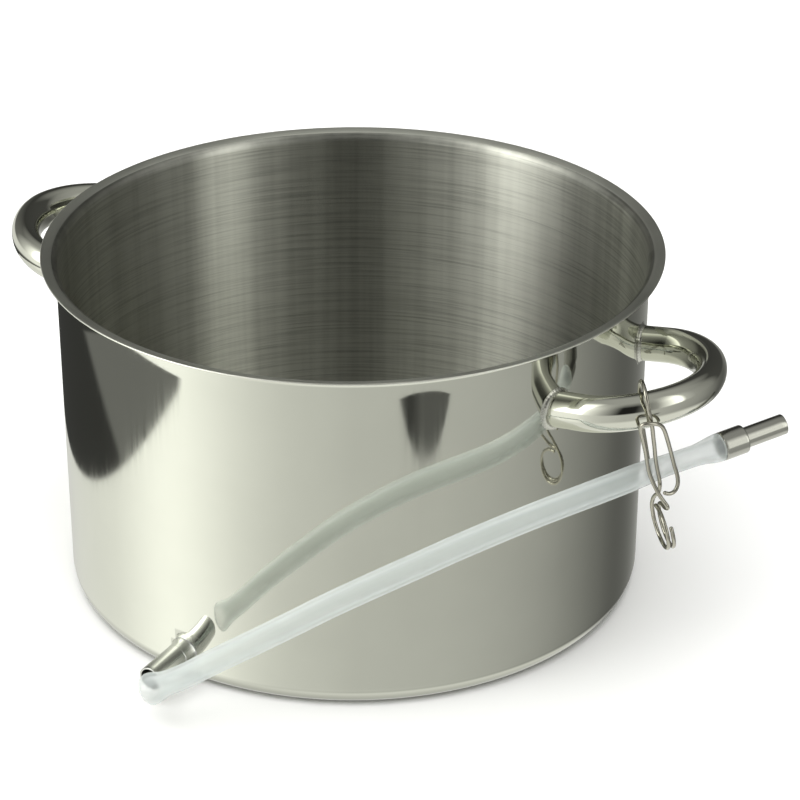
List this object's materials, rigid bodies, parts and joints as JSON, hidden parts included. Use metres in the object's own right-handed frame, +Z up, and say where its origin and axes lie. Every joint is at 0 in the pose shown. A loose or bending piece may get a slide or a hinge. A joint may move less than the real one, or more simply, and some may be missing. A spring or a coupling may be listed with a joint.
{
  "type": "brew kettle",
  "caption": "Deep round steel kettle with two looped tube handles, a drain spout, a hose with an outlet fitting and a spring wire hose clamp.",
  "frame": {"origin": "centre of the kettle's base, on the surface it stands on", "axes": "+Z up, +X through the right handle, -Y along the drain spout"},
  "size_m": [0.4658, 0.3735, 0.192],
  "materials": {
    "shell_steel": "mirror-polished outside, brushed round inside, satin rim",
    "handle_steel": "polished",
    "weld_steel": "dull weld bead",
    "tube_steel": "satin turned",
    "spring_wire": "drawn wire",
    "silicone": "frosted translucent silicone"
  },
  "bodies": {
    "kettle": {"kettle_shell": "shell_steel", "spout_tube": "tube_steel", "spout_weld": "weld_steel", "handle_right": "handle_steel", "handle_right_weld_front": "weld_steel", "handle_right_weld_back": "weld_steel", "handle_left": "handle_steel", "handle_left_weld_front": "weld_steel", "handle_left_weld_back": "weld_steel", "hose": "silicone", "outlet_collar": "tube_steel", "outlet_tube": "tube_steel", "clamp_hanger": "spring_wire"},
    "clamp_jaw": {"clamp_jaw": "spring_wire"}
  },
  "joints": [
    {"name": "clamp_open", "type": "hinge", "parent": "kettle", "child": "clamp_jaw", "pos_m": [0.2049, -0.0203, 0.0908], "axis": [0.6827, 0.7, 0.2096], "range_deg": [0, 22], "stiffness_Nm_per_rad": 0.3, "springref_deg": -17.19}
  ]
}
